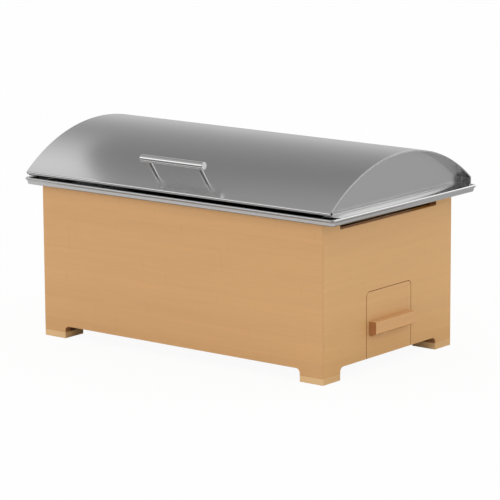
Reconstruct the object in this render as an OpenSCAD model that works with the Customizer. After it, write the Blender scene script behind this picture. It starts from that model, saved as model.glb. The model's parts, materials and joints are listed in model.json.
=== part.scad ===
// Chafing dish: a bamboo housing with two fuel drawers carries a steel pan frame, a water
// pan, a food pan and a hinged barrel lid. Millimetres. The front faces -Y, the hinges are
// at +Y, +Z is up, and the feet stand on z = 0. The modules work in the housing's own frame,
// with x = 0 in the middle and y = 0 on the front face; seated() shifts them to the origin.

/* [Pans] */
// Length of the food pan over its flange
pan_w = 530; // [460:5:640]
// Width of the food pan over its flange
pan_d = 325; // [290:5:380]
// Width of the food pan's flange
pan_flange = 11.5; // [9:0.5:16]
// Depth of the food pan
food_depth = 65; // [40:5:85]
// Depth of the water pan
water_depth = 100; // [92:2:110]
// Width of the water pan's flange
water_flange = 15; // [12:0.5:18]
// Sheet thickness of both pans
pan_sheet = 1; // [0.8:0.1:1.4]
// Plan radius of the food pan's corners
pan_corner_r = 40; // [25:1:55]
// How far a pan's wall leans in from top to bottom
pan_draft = 9; // [4:1:12]
// Radius between a pan's wall and its floor
pan_floor_r = 10; // [6:1:13]
// Play between the food pan and the water pan, and between the water pan and the frame
pan_play = 0.6; // [0.4:0.1:1]

/* [Housing] */
// Housing beyond the food pan's flange at each end
end_margin = 15; // [12:1:25]
// Housing beyond the food pan's flange at front and back
side_margin = 5; // [4:0.5:15]
// Height of the housing from the table to its top edge
box_h = 245; // [236:1:270]
// Thickness of the bamboo panels
panel_t = 12; // [9:0.5:14]
// Radius that eases the housing's upright corners
corner_r = 2; // [1:0.5:4]
// Thickness of the floor panel
floor_t = 9; // [6:1:12]
// End play of the floor panel between the end panels
floor_play = 0.5; // [0.3:0.1:1]
// Width of the cleats that carry the floor
cleat_w = 14; // [10:1:18]
// Height of the cleats
cleat_h = 16; // [12:1:20]
// Length of the cleats
cleat_l = 420; // [300:10:430]
// Distance of the end screws from a cleat's end
screw_margin = 30; // [15:1:60]

/* [Feet] */
// Length of a foot along the front
foot_w = 44; // [38:1:60]
// Width of a foot along the end
foot_d = 43; // [38:1:50]
// Height of the cut-outs between the feet
cut_h = 20; // [16:1:30]
// Radius in the corners of the cut-outs
cut_r = 7; // [3:0.5:10]
// Height of the pale pads under the feet
pad_h = 10; // [4:1:12]
// Height of the top of the corner blocks
block_top = 135; // [60:5:138]

/* [Air slots] */
// Length of the air slot in an end panel
slot_l = 250; // [180:5:260]
// Depth of the air slot below the housing's top edge
slot_h = 14; // [8:1:25]
// Radius in the slot's lower corners
slot_r = 2.5; // [1:0.5:6]

/* [Drawers] */
// Width of the drawer door
door_w = 115; // [114:1:124]
// Height of the door's top above the table
door_top = 123; // [112:0.5:135]
// Radius of the door's top corners
door_r = 7; // [3:0.5:12]
// Gap between the door and its opening
door_gap = 1; // [0.6:0.1:1.5]
// Travel of the drawer
drawer_travel = 190; // [185:1:195]
// Height of the tray's underside above the floor panel
tray_lift = 3; // [2.5:0.5:5]
// Width of the tray between its side walls, outside
tray_w = 96; // [94:1:98]
// Length of tray that stays in the guides when the drawer is pulled right out
tray_hold = 58; // [45:1:60]
// Height of the tray's side walls
tray_h = 13.5; // [11:0.5:16]
// Width of the flanges that run in the guides
tray_flange = 6; // [4:0.5:7]
// Sheet thickness of the tray
tray_sheet = 1.2; // [1:0.1:1.5]
// Height of the tray's front plate above its underside
tray_front_h = 28; // [22:1:30]
// Running gap of the drawer on every side
run_gap = 0.3; // [0.2:0.05:0.6]
// Gap between the tray's walls and the guides
guide_gap = 1; // [0.6:0.1:1.5]
// Width of a guide
guide_w = 14; // [12:1:18]
// Height of a guide above the floor panel
guide_h = 24; // [22:1:30]

/* [Drawer pull] */
// Length of the pull bar
pull_l = 102; // [70:1:108]
// How far the pull bar stands out from the door
pull_depth = 13; // [11:0.5:20]
// Height of the pull bar's top above the table
pull_top = 77.5; // [65:0.5:90]
// Height of the pull bar's outer face
pull_face_h = 18.5; // [14:0.5:24]
// How far the underside drops behind the outer face
pull_drop = 5; // [0:0.5:7]
// Depth of the finger relief behind the pull bar
pull_relief = 3; // [1:0.5:4]
// Bamboo left in front of the pull bar's screws
pull_wall = 4; // [3:0.5:6]
// Height of the finger relief
pull_relief_h = 11; // [6:0.5:12]

/* [Fuel] */
// Distance of the can's centre behind the end of the housing
can_set_back = 140; // [135:1:150]
// Outside radius of the fuel can
can_r = 43; // [36:0.5:43.5]
// Height of the fuel can
can_h = 60; // [45:1:65]
// Radius of the can's burning mouth
can_mouth_r = 21; // [12:1:26]
// Radius of the cup, outside
cup_r = 46; // [45:0.5:46.5]
// Height of the cup
cup_h = 22; // [12:1:30]
// Sheet thickness of the cup
cup_sheet = 1; // [0.8:0.1:1.2]

/* [Pan frame] */
// Overhang of the frame at each end
rim_end = 28.5; // [19:0.5:32]
// Overhang of the frame at the front
rim_front = 12; // [9:0.5:25]
// Overhang of the frame at the back, where the hinges stand
rim_rear = 29; // [27:0.5:40]
// Height of the frame's lip above the housing
rim_h = 11.5; // [9.5:0.5:14]
// Sheet thickness of the frame
rim_sheet = 1.5; // [1:0.1:2]
// How far the frame's wall flares out to its lip
rim_flare = 4; // [3:0.25:4.5]
// Radius of the rolled bead on the lip
bead_r = 2.5; // [1.75:0.25:2.5]
// Plan radius of the frame's corners
rim_corner_r = 7; // [6.5:0.5:12]

/* [Lid] */
// Outside radius of the barrel
lid_r = 288; // [260:1:340]
// How far the lid ends inside the frame at each end
lid_end_gap = 6; // [0:0.5:8]
// Height of the barrel's front edge above the frame's lip
lid_front_rise = 9.3; // [8.5:0.1:14]
// Height of the barrel's rear edge above its front edge
lid_rear_lift = 3.3; // [0:0.1:6]
// Sheet thickness of the lid
lid_sheet = 1.2; // [0.8:0.1:1.5]
// Radius of the rolled front edge
roll_r = 3.25; // [2.5:0.25:3.75]
// How far the barrel laps over the top of the rolled edge
roll_lap = 0.4; // [0.2:0.1:0.8]
// How far the end plates stop behind the front of the rolled edge
cap_inset = 1; // [0.5:0.25:2]
// How deep the end plates are let into the barrel
cap_recess = 16; // [8:1:20]
// Gap between the closed lid and what it rests on
lid_seat_gap = 0.3; // [0.2:0.1:0.6]
// How far the rear skirt ends above the frame's lip
skirt_gap = 0.9; // [0.5:0.1:1.5]

/* [Lid handle] */
// Length of the handle bar
bar_l = 124; // [112:1:180]
// Radius of the handle bar
bar_r = 6; // [5:0.5:8]
// Height of the bar's centre above the barrel
bar_reach = 35; // [30:1:50]
// Distance between the two posts
post_pitch = 100; // [80:1:104]
// Radius of a post
post_r = 3.5; // [2.75:0.25:4]
// Distance of the posts' feet behind the middle of the rolled front edge
post_back = 19.268; // [15:0.001:40]
// How deep a post sits in the bar
post_seat = 5; // [3:0.5:5.5]
// Depth of the screw's bore in a post
post_bore = 12; // [8:1:18]
// Chamfer on the ends of the bar
bar_chamfer = 0.6; // [0.3:0.1:1]

/* [Hinges] */
// Distance of a hinge from the middle of the lid
hinge_x = 170; // [120:5:220]
// Length of a hinge
hinge_l = 60; // [50:1:90]
// Outside radius of the hinge knuckles
knuckle_r = 3.5; // [3.25:0.25:4]
// Radius of the hinge pin
pin_r = 1.5; // [1.25:0.25:1.75]
// Running clearance between pin and knuckle
pin_play = 0.05; // [0.03:0.01:0.09]
// Thickness of the hinge leaves
leaf_t = 1.4; // [1:0.1:1.5]
// Depth of the base leaf's foot
leaf_foot = 16; // [12:1:18]
// Height of the knuckles above the frame's lip
knuckle_lift = 1; // [0.5:0.25:2]
// Gap between the knuckles, and between the two leaves
knuckle_gap = 0.3; // [0.2:0.05:0.5]

/* [Fasteners] */
// Shank radius of the wood screws
wood_screw_r = 1.75; // [1.5:0.25:2]
// Length of the wood screws
wood_screw_l = 18; // [14:1:20]
// Head radius of the wood screws
wood_head_r = 3.5; // [3:0.25:4]
// Shank radius of the machine screws
screw_r = 2; // [1.5:0.25:2.25]
// Head radius of the machine screws
head_r = 3.8; // [3.25:0.1:4.5]
// Head height of the machine screws
head_h = 2.4; // [1.8:0.1:2.6]
// Thickness of the washers under the lid handle's screws
washer_t = 1; // [0.8:0.1:1.5]
// Radius of the washers
washer_r = 6; // [5:0.25:8]
// Height of the rivet heads and of the pins' peened heads
rivet_head_h = 1.2; // [0.8:0.1:1.2]
// Radial play of a screw or post in its hole
hole_play = 0.05; // [0.03:0.01:0.2]

/* [Hidden] */
$fn = 96;

// A hair's breadth by which a cutter passes the face it cuts
cut = 1;
// Finer facets for the large curve of the lid
barrel_fn = 360;

// Housing
box_w = pan_w + 2 * end_margin;
box_d = pan_d + 2 * side_margin;
mid_d = box_d / 2;
floor_z = cut_h;
floor_top = floor_z + floor_t;

// Pans: the food pan's well, the water pan around it and the frame's opening around that
food_well_w = pan_w - 2 * pan_flange;
food_well_d = pan_d - 2 * pan_flange;
water_well_w = food_well_w + 2 * (pan_play + pan_sheet);
water_well_d = food_well_d + 2 * (pan_play + pan_sheet);
water_corner_r = pan_corner_r + pan_play + pan_sheet;
water_seat = box_h + rim_sheet;
food_seat = water_seat + pan_sheet;

// Pan frame
rim_w = box_w + 2 * rim_end;
rim_back = box_d + rim_rear;
rim_d = rim_back + rim_front;
rim_mid = rim_back - rim_d / 2;
lip_z = box_h + rim_h;

// Hinges: the knuckles end flush with the frame's back, and the lid ends before the leaves
hinge_y = rim_back - knuckle_r;
hinge_z = lip_z + knuckle_lift + knuckle_r;
leaf_y = hinge_y - knuckle_r;
lid_back = leaf_y - knuckle_gap - leaf_t;
knuckle_l = hinge_l / 4;
rivet_y = leaf_y + leaf_t - leaf_foot / 2;

// Lid: a circle of radius lid_r through the barrel's front and rear edges
lid_w = rim_w - 2 * lid_end_gap;
lid_z = lip_z + lid_front_rise;
lid_chord = [lid_back + rim_front, lid_rear_lift];
lid_half = norm(lid_chord) / 2;
lid_drop = sqrt(lid_r * lid_r - lid_half * lid_half);
lid_cy = (lid_back - rim_front) / 2 + lid_drop * lid_chord[1] / norm(lid_chord);
lid_cz = lid_z + lid_rear_lift / 2 - lid_drop * lid_chord[0] / norm(lid_chord);
roll_y = roll_r - rim_front;
roll_z = lid_cz + sqrt(pow(lid_r, 2) - pow(lid_cy - roll_y, 2)) - roll_r - roll_lap;
skirt_z = lip_z + skirt_gap;
cap_z = lip_z + lid_seat_gap;
cap_front = cap_inset - rim_front;
skirt_top = lid_cz + sqrt(pow(lid_r, 2) - pow(lid_cy - lid_back, 2));

// Hollow of the barrel under a flat washer
washer_drop = lid_r - lid_sheet - sqrt(pow(lid_r - lid_sheet, 2) - pow(washer_r, 2));

// The posts' angle from upright, square to the barrel at their feet
post_tilt = asin((lid_cy - roll_y - post_back) / lid_r);

// The whole dish is shifted so that the origin lies below the middle of its outline
bar_y = lid_cy - (lid_r + bar_reach) * sin(post_tilt);
mid_y = (min(-rim_front, bar_y - bar_r) + rim_back) / 2;

// Drawers: the tray's flanges run in a groove of each guide
tray_z = floor_top + tray_lift;
flange_z = tray_z + tray_h - tray_sheet;
guide_y = tray_w / 2 + guide_gap;
door_in = box_w / 2 - panel_t;
tray_l = drawer_travel + tray_hold;
cup_x = box_w / 2 - can_set_back;
cup_z = tray_z + tray_sheet;
pull_h = pull_face_h + pull_drop;
tray_screw_l = tray_sheet + panel_t / 2;
pull_screw_l = panel_t + pull_depth - pull_wall;

bamboo = "#caa06c";
bamboo_end = "#c49969";
pale_bamboo = "#dcbd8c";
dark_bamboo = "#b98a55";
steel = "#b9bcc0";
bright_steel = "#d2d5d8";
tin = "#a9a9ac";

// Shifts a piece from the housing's frame to the origin
module seated() {
    translate([0, -mid_y, 0]) children();
}

// A plan rectangle centred on the origin with true arcs in its corners
module round_rect(w, d, r) {
    square([w - 2 * r, d], center = true);
    square([w, d - 2 * r], center = true);
    for (sx = [-1, 1]) {
        for (sy = [-1, 1]) translate([sx * (w / 2 - r), sy * (d / 2 - r)]) circle(r);
    }
}

// An arched outline on a flat base line: width w, height h, top corners of radius r
module arch(w, h, r) {
    translate([-w / 2, -cut]) square([w, h - r + cut]);
    translate([r - w / 2, -cut]) square([w - 2 * r, h + cut]);
    for (s = [-1, 1]) translate([s * (w / 2 - r), h - r]) circle(r);
}

// Carries a section round a rectangle w by d with corners of radius r. The section's x is
// the distance from the corner's centre, so x = r lies on the rectangle
module swept_round(w, d, r) {
    for (q = [[1, 1, 0], [-1, 1, 90], [-1, -1, 180], [1, -1, 270]]) {
        translate([q[0] * (w / 2 - r), q[1] * (d / 2 - r), 0])
            rotate([0, 0, q[2]])
            rotate_extrude(angle = 90) children();
    }
    for (a = [0, 180]) rotate([0, 0, a]) {
        translate([w / 2 - r, 0, 0])
            rotate([90, 0, 0])
            linear_extrude(d - 2 * r, center = true) children();
        translate([0, d / 2 - r, 0])
            rotate([90, 0, 90])
            linear_extrude(w - 2 * r, center = true) children();
    }
}

// Extrudes an outline drawn in Y and Z along X from x0 to x1
module along_x(x0, x1) {
    translate([x0, 0, 0]) rotate([90, 0, 90]) linear_extrude(x1 - x0) children();
}

// Extrudes an outline drawn in X and Z along Y from y0 to y1
module along_y(y0, y1) {
    translate([0, y1, 0]) rotate([90, 0, 0]) linear_extrude(y1 - y0) children();
}

// Mirrors the right-hand piece to the left-hand end
module to_left() {
    mirror([1, 0, 0]) children();
}

// Mirrors a front piece to the back of the housing
module to_back() {
    translate([0, box_d, 0]) mirror([0, 1, 0]) children();
}

// A countersunk wood screw whose head is flush with z = 0 and whose point is down
module wood_screw() {
    point_l = 2 * wood_screw_r;
    rotate_extrude() polygon([[0, 0], [wood_head_r, 0], [wood_screw_r, wood_screw_r - wood_head_r],
        [wood_screw_r, point_l - wood_screw_l], [0, -wood_screw_l]]);
}

// The hole that such a screw fills
module wood_screw_hole() {
    wood_screw();
    cylinder(r = wood_head_r, h = cut);
}

// A pan-head machine screw with its head below z = 0 and its shank up to length l
module machine_screw(l) {
    translate([0, 0, -head_h]) difference() {
        cylinder(r = head_r, h = head_h);
        translate([0, 0, -cut]) cylinder(r = head_r / 2, h = cut + head_h / 2, $fn = 6);
    }
    cylinder(r = screw_r, h = l);
}

// Housing panels

// Outline shared by the housing and its pads, with eased upright corners
module housing_plan() {
    translate([0, mid_d]) round_rect(box_w, box_d, corner_r);
}

// The front panel: mitred at both ends, with the cut-out between its feet
module side_panel() {
    difference() {
        translate([0, 0, pad_h]) linear_extrude(box_h - pad_h) intersection() {
            housing_plan();
            polygon([[-box_w / 2, 0], [box_w / 2, 0],
                [box_w / 2 - panel_t, panel_t], [panel_t - box_w / 2, panel_t]]);
        }
        along_y(-cut, panel_t + cut) arch(box_w - 2 * foot_w, cut_h, cut_r);
        frame_screw_holes();
    }
}

module front_panel() {
    color(bamboo) seated() side_panel();
}

module back_panel() {
    color(bamboo) seated() to_back() side_panel();
}

// The right end panel: mitred, with the cut-out between its feet, the air slot in its top
// edge and the opening for the drawer door
module end_panel() {
    difference() {
        translate([0, 0, pad_h]) linear_extrude(box_h - pad_h) intersection() {
            housing_plan();
            polygon([[box_w / 2, 0], [box_w / 2, box_d],
                [box_w / 2 - panel_t, box_d - panel_t], [box_w / 2 - panel_t, panel_t]]);
        }
        along_x(door_in - cut, box_w / 2 + cut) translate([mid_d, 0]) {
            arch(box_d - 2 * foot_d, cut_h, cut_r);
            arch(door_w + 2 * door_gap, door_top + door_gap, door_r + door_gap);
            translate([0, box_h]) mirror([0, 1]) arch(slot_l, slot_h, slot_r);
        }
    }
}

module right_end_panel() {
    color(bamboo_end) seated() end_panel();
}

module left_end_panel() {
    color(bamboo_end) seated() to_left() end_panel();
}

// Corner block behind the front right foot: it fills the foot and stiffens the mitre
module corner_block() {
    translate([box_w / 2 - foot_w, panel_t, pad_h])
        cube([foot_w - panel_t, foot_d - panel_t, block_top - pad_h]);
}

module front_right_block() {
    color(dark_bamboo) seated() corner_block();
}

module front_left_block() {
    color(dark_bamboo) seated() to_left() corner_block();
}

module back_right_block() {
    color(dark_bamboo) seated() to_back() corner_block();
}

module back_left_block() {
    color(dark_bamboo) seated() to_left() to_back() corner_block();
}

// Pale pad under the front right foot
module foot_pad() {
    linear_extrude(pad_h) intersection() {
        housing_plan();
        translate([box_w / 2 - foot_w, 0]) square([foot_w, foot_d]);
    }
}

module front_right_pad() {
    color(pale_bamboo) seated() foot_pad();
}

module front_left_pad() {
    color(pale_bamboo) seated() to_left() foot_pad();
}

module back_right_pad() {
    color(pale_bamboo) seated() to_back() foot_pad();
}

module back_left_pad() {
    color(pale_bamboo) seated() to_left() to_back() foot_pad();
}

// Floor panel, notched round the corner blocks
module floor_panel() {
    inner_w = box_w - 2 * panel_t - 2 * floor_play;
    inner_d = box_d - 2 * panel_t;
    color(bamboo) seated() difference() {
        translate([0, mid_d, floor_z]) linear_extrude(floor_t) difference() {
            square([inner_w, inner_d], center = true);
            for (sx = [-1, 1]) for (sy = [-1, 1])
                translate([sx * (box_w / 2 - foot_w / 2), sy * (box_d / 2 - foot_d / 2)])
                    square([foot_w, foot_d], center = true);
        }
        floor_screw_places() wood_screw_hole();
        guide_screw_places() wood_screw();
    }
}

// Cleat glued to the front panel above the floor
module floor_cleat() {
    difference() {
        translate([-cleat_l / 2, panel_t, floor_top]) cube([cleat_l, cleat_w, cleat_h]);
        floor_screw_places() wood_screw();
    }
}

module front_floor_cleat() {
    color(dark_bamboo) seated() floor_cleat();
}

module back_floor_cleat() {
    color(dark_bamboo) seated() to_back() floor_cleat();
}

// Screws driven up through the floor into the cleats
module floor_screw_places() {
    for (x = [-1, 0, 1] * (cleat_l / 2 - screw_margin)) {
        for (y = [panel_t + cleat_w / 2, box_d - panel_t - cleat_w / 2]) {
            translate([x, y, floor_z]) mirror([0, 0, 1]) children();
        }
    }
}

module floor_screws() {
    color(steel) seated() floor_screw_places() wood_screw();
}

// Guide in front of the trays, with the groove for their flanges
module drawer_guide() {
    guide_l = box_w - 2 * panel_t - 2 * floor_play;
    groove_w = tray_flange + run_gap - guide_gap;
    difference() {
        translate([-guide_l / 2, mid_d - guide_y - guide_w, floor_top])
            cube([guide_l, guide_w, guide_h]);
        translate([-guide_l / 2 - cut, mid_d - guide_y - groove_w, flange_z - run_gap])
            cube([guide_l + 2 * cut, groove_w + cut, tray_sheet + 2 * run_gap]);
        guide_screw_places() wood_screw();
    }
}

module front_drawer_guide() {
    color(bamboo) seated() drawer_guide();
}

module back_drawer_guide() {
    color(bamboo) seated() to_back() drawer_guide();
}

// Screws driven up through the floor into the guides, outside the grooves
module guide_screw_places() {
    for (x = [-1, 0, 1] * (box_w / 2 - 2 * foot_w)) {
        for (s = [-1, 1]) {
            translate([x, mid_d + s * (guide_y + guide_w - wood_head_r), floor_z])
                mirror([0, 0, 1]) children();
        }
    }
}

module guide_screws() {
    color(steel) seated() guide_screw_places() wood_screw();
}

// Pan frame

// Section of the frame's wall: it flares out from the plate and ends in a rolled bead
module rim_section() {
    top_x = rim_corner_r - bead_r;
    translate([0, box_h]) {
        polygon([[rim_corner_r - rim_flare - rim_sheet, 0], [rim_corner_r - rim_flare, 0],
            [top_x + rim_sheet / 2, rim_h - bead_r], [top_x - rim_sheet / 2, rim_h - bead_r]]);
        translate([top_x, rim_h - bead_r]) circle(bead_r);
    }
}

module pan_frame() {
    color(bright_steel) seated() {
        translate([0, rim_mid, 0]) swept_round(rim_w, rim_d, rim_corner_r) rim_section();
        difference() {
            translate([0, rim_mid, box_h]) linear_extrude(rim_sheet)
                round_rect(rim_w - 2 * rim_flare, rim_d - 2 * rim_flare, rim_corner_r - rim_flare);
            translate([0, mid_d, box_h - cut]) linear_extrude(rim_sheet + 2 * cut)
                round_rect(water_well_w + 2 * pan_play, water_well_d + 2 * pan_play,
                    water_corner_r + pan_play);
            frame_screw_holes();
            hinge_rivet_places() translate([0, 0, -cut]) cylinder(r = screw_r, h = rim_sheet + 2 * cut);
        }
    }
}

// Countersunk screws through the frame into the middle of the long panels
module frame_screw_places() {
    for (x = [-1, 1]) {
        for (y = [panel_t / 2, box_d - panel_t / 2]) {
            translate([x * (box_w / 2 - foot_w), y, box_h + rim_sheet]) children();
        }
    }
}

module frame_screw_holes() {
    frame_screw_places() wood_screw_hole();
}

module frame_screws() {
    color(steel) seated() frame_screw_places() wood_screw();
}

// Pans

// Section of a pan's wall for a well corner of radius r: flange, leaning wall and floor curve,
// with z = 0 on the flange's underside
module pan_section(r, depth, flange) {
    floor_x = r - pan_draft - pan_floor_r;
    curve_z = pan_sheet - depth + pan_floor_r;
    translate([r - pan_sheet, 0]) square([flange + pan_sheet, pan_sheet]);
    polygon([[r - pan_sheet, pan_sheet], [r, pan_sheet], [r - pan_draft, curve_z],
        [r - pan_draft - pan_sheet, curve_z]]);
    intersection() {
        translate([floor_x, curve_z]) difference() {
            circle(pan_floor_r);
            circle(pan_floor_r - pan_sheet);
        }
        translate([floor_x, curve_z - pan_floor_r]) square(pan_floor_r);
    }
}

// A pan whose well measures w by d outside at the top
module pan(w, d, r, depth, flange) {
    inset = pan_draft + pan_floor_r;
    swept_round(w, d, r) pan_section(r, depth, flange);
    translate([0, 0, pan_sheet - depth]) linear_extrude(pan_sheet)
        round_rect(w - 2 * inset, d - 2 * inset, r - inset);
}

module water_pan() {
    color(steel) seated() translate([0, mid_d, water_seat])
        pan(water_well_w, water_well_d, water_corner_r, water_depth, water_flange);
}

module food_pan() {
    color(bright_steel) seated() translate([0, mid_d, food_seat])
        pan(food_well_w, food_well_d, pan_corner_r, food_depth, pan_flange);
}

// Hinges

// One length of knuckle from x0 to x1, bored for the pin
module knuckle(x0, x1) {
    along_x(x0, x1) translate([hinge_y, hinge_z]) difference() {
        circle(knuckle_r);
        circle(pin_r + pin_play);
    }
}

// Base leaf: a foot on the frame, an upright in front of the lip and the two outer knuckles
module hinge_base() {
    half = hinge_l / 2;
    gap_z = hinge_z - knuckle_r - knuckle_gap;
    difference() {
        union() {
            translate([-half, leaf_y + leaf_t - leaf_foot, water_seat]) cube([hinge_l, leaf_foot, leaf_t]);
            translate([-half, leaf_y, water_seat]) cube([hinge_l, leaf_t, hinge_z - water_seat]);
        }
        translate([-knuckle_l - knuckle_gap, leaf_y - cut, gap_z])
            cube([2 * (knuckle_l + knuckle_gap), leaf_t + 2 * cut, hinge_z]);
        along_x(-half - cut, half + cut) translate([hinge_y, hinge_z]) circle(pin_r + pin_play);
        for (x = [-1, 1]) translate([x * hinge_l / 3, rivet_y, water_seat - cut])
            cylinder(r = screw_r, h = leaf_t + 2 * cut);
    }
    for (x = [-half, knuckle_l + knuckle_gap]) knuckle(x, x + half - knuckle_l - knuckle_gap);
}

module right_hinge_base() {
    color(steel) seated() translate([hinge_x, 0, 0]) hinge_base();
}

module left_hinge_base() {
    color(steel) seated() translate([-hinge_x, 0, 0]) hinge_base();
}

// Rivets through the base leaves' feet and the frame
module hinge_rivet_places() {
    for (x = [-hinge_x, hinge_x]) {
        for (s = [-1, 1]) translate([x + s * hinge_l / 3, rivet_y, box_h]) children();
    }
}

module hinge_rivets() {
    color(bright_steel) seated() hinge_rivet_places() {
        cylinder(r = screw_r, h = rim_sheet + leaf_t);
        translate([0, 0, rim_sheet + leaf_t]) cylinder(r = head_r, h = rivet_head_h);
        translate([0, 0, -rivet_head_h]) cylinder(r = head_r, h = rivet_head_h);
    }
}

// Hinge pin with a peened head at each end
module hinge_pin() {
    end = hinge_l / 2 + rivet_head_h;
    along_x(-end, end) translate([hinge_y, hinge_z]) circle(pin_r);
    for (x = [-end, end - rivet_head_h]) along_x(x, x + rivet_head_h)
        translate([hinge_y, hinge_z]) circle((pin_r + knuckle_r) / 2);
}

module right_hinge_pin() {
    color(bright_steel) seated() translate([hinge_x, 0, 0]) hinge_pin();
}

module left_hinge_pin() {
    color(bright_steel) seated() translate([-hinge_x, 0, 0]) hinge_pin();
}

// Lid leaf: a plate welded to the lid's rear skirt, and the middle knuckle that wraps the pin
module hinge_leaf() {
    half = hinge_l / 2;
    margin = 0.5;
    wrap = knuckle_r - pin_r - pin_play;
    translate([-half, lid_back, skirt_z + margin])
        cube([hinge_l, leaf_t, skirt_top - skirt_z - 2 * margin]);
    translate([-knuckle_l, lid_back + leaf_t / 2, hinge_z + knuckle_r - wrap])
        cube([2 * knuckle_l, hinge_y - lid_back - leaf_t / 2, wrap]);
    knuckle(-knuckle_l, knuckle_l);
}

module right_hinge_leaf() {
    color(steel) seated() translate([hinge_x, 0, 0]) hinge_leaf();
}

module left_hinge_leaf() {
    color(steel) seated() translate([-hinge_x, 0, 0]) hinge_leaf();
}

// Lid

// Outline of the space under the barrel down to height z, inset by t from the barrel's sheet
module under_barrel(t) {
    difference() {
        intersection() {
            translate([lid_cy, lid_cz]) circle(lid_r - lid_sheet - t, $fn = barrel_fn);
            translate([cap_front + t, cap_z + t])
                square([lid_back - lid_sheet - cap_front - 2 * t, lid_r]);
        }
        translate([roll_y, roll_z]) circle(roll_r + t);
    }
}

// Section of the rolled edge: a tube of the barrel's sheet, closed under the barrel
module front_curl() {
    translate([roll_y, roll_z]) difference() {
        circle(roll_r);
        circle(roll_r - lid_sheet);
    }
}

// The barrel: a bent sheet with a rolled front edge and an upright rear skirt
module lid_barrel() {
    color(steel) seated() difference() {
        along_x(-lid_w / 2, lid_w / 2) {
            difference() {
                intersection() {
                    translate([lid_cy, lid_cz]) circle(lid_r, $fn = barrel_fn);
                    translate([roll_y, lid_z - roll_r]) square([lid_back - roll_y, lid_r]);
                }
                translate([lid_cy, lid_cz]) circle(lid_r - lid_sheet, $fn = barrel_fn);
            }
            front_curl();
            translate([lid_back - lid_sheet, skirt_z])
                square([lid_sheet, skirt_top - skirt_z]);
        }
        handle_screw_places() translate([0, 0, -lid_sheet - cut])
            cylinder(r = screw_r + hole_play, h = lid_sheet + 2 * cut);
    }
}

// End plate let into the barrel's right end, with a flange turned out all round
module end_cap() {
    x_in = lid_w / 2 - cap_recess - lid_sheet;
    along_x(x_in, x_in + lid_sheet) under_barrel(0);
    along_x(x_in, lid_w / 2) difference() {
        under_barrel(0);
        under_barrel(lid_sheet);
    }
}

module lid_right_cap() {
    color(bright_steel) seated() end_cap();
}

module lid_left_cap() {
    color(bright_steel) seated() to_left() end_cap();
}

// Lid handle: the posts stand square to the barrel

// Places a child on the barrel at the handle's angle, with its z pointing out of the barrel
module on_barrel() {
    translate([0, lid_cy, lid_cz]) rotate([post_tilt, 0, 0]) translate([0, 0, lid_r]) children();
}

module handle_screw_places() {
    for (x = [-post_pitch / 2, post_pitch / 2]) translate([x, 0, 0]) on_barrel() children();
}

module lid_handle_bar() {
    color(bright_steel) seated() on_barrel() translate([0, 0, bar_reach]) difference() {
        rotate([0, 90, 0]) rotate_extrude() polygon([[0, -bar_l / 2], [bar_r - bar_chamfer, -bar_l / 2],
            [bar_r, bar_chamfer - bar_l / 2], [bar_r, bar_l / 2 - bar_chamfer],
            [bar_r - bar_chamfer, bar_l / 2], [0, bar_l / 2]]);
        for (x = [-post_pitch / 2, post_pitch / 2])
            translate([x, 0, -bar_r - cut]) cylinder(r = post_r + hole_play, h = post_seat + cut);
    }
}

module handle_post() {
    on_barrel() difference() {
        cylinder(r = post_r, h = bar_reach - bar_r + post_seat);
        translate([0, 0, -cut]) cylinder(r = screw_r + hole_play, h = post_bore + cut);
    }
}

module lid_handle_right_post() {
    color(bright_steel) seated() translate([post_pitch / 2, 0, 0]) handle_post();
}

module lid_handle_left_post() {
    color(bright_steel) seated() translate([-post_pitch / 2, 0, 0]) handle_post();
}

module lid_handle_screws() {
    color(steel) seated() handle_screw_places() translate([0, 0, -lid_sheet - washer_drop - washer_t])
        machine_screw(post_bore + lid_sheet + washer_drop + washer_t);
}

module lid_handle_washers() {
    color(steel) seated() handle_screw_places() translate([0, 0, -lid_sheet - washer_drop - washer_t])
        difference() {
            cylinder(r = washer_r, h = washer_t);
            translate([0, 0, -cut]) cylinder(r = screw_r + hole_play, h = washer_t + 2 * cut);
        }
}

// Drawers: all pieces are drawn at the right-hand end

// Places a child at the two screws of the pull bar, with its z pointing out through the door
module pull_screw_places() {
    for (s = [-1, 1]) translate([door_in, mid_d + s * pull_l / 3, pull_top - pull_face_h / 2])
        rotate([0, 90, 0]) children();
}

// Places a child at the two screws of the tray's front plate, pointing out into the door
module tray_screw_places() {
    for (s = [-1, 1]) translate([door_in - tray_sheet, mid_d + s * tray_w / 4, tray_z + tray_front_h - head_r - 2])
        rotate([0, 90, 0]) children();
}

module door() {
    difference() {
        along_x(door_in, box_w / 2) translate([mid_d, 0]) intersection() {
            arch(door_w, door_top, door_r);
            translate([-door_w / 2, cut_h]) square([door_w, door_top]);
        }
        pull_screw_places() translate([0, 0, -cut]) cylinder(r = screw_r + hole_play, h = panel_t + 2 * cut);
        tray_screw_places() cylinder(r = screw_r + hole_play, h = tray_screw_l);
    }
}

// Pull bar: a flat face, an underside that drops towards the door and a finger relief behind
module pull_bar() {
    x = box_w / 2;
    difference() {
        along_y(mid_d - pull_l / 2, mid_d + pull_l / 2) polygon([[x, pull_top],
            [x + pull_depth, pull_top], [x + pull_depth, pull_top - pull_face_h],
            [x + pull_relief, pull_top - pull_h], [x, pull_top - pull_h + pull_relief_h]]);
        pull_screw_places() cylinder(r = screw_r + hole_play, h = pull_screw_l);
    }
}

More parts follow.
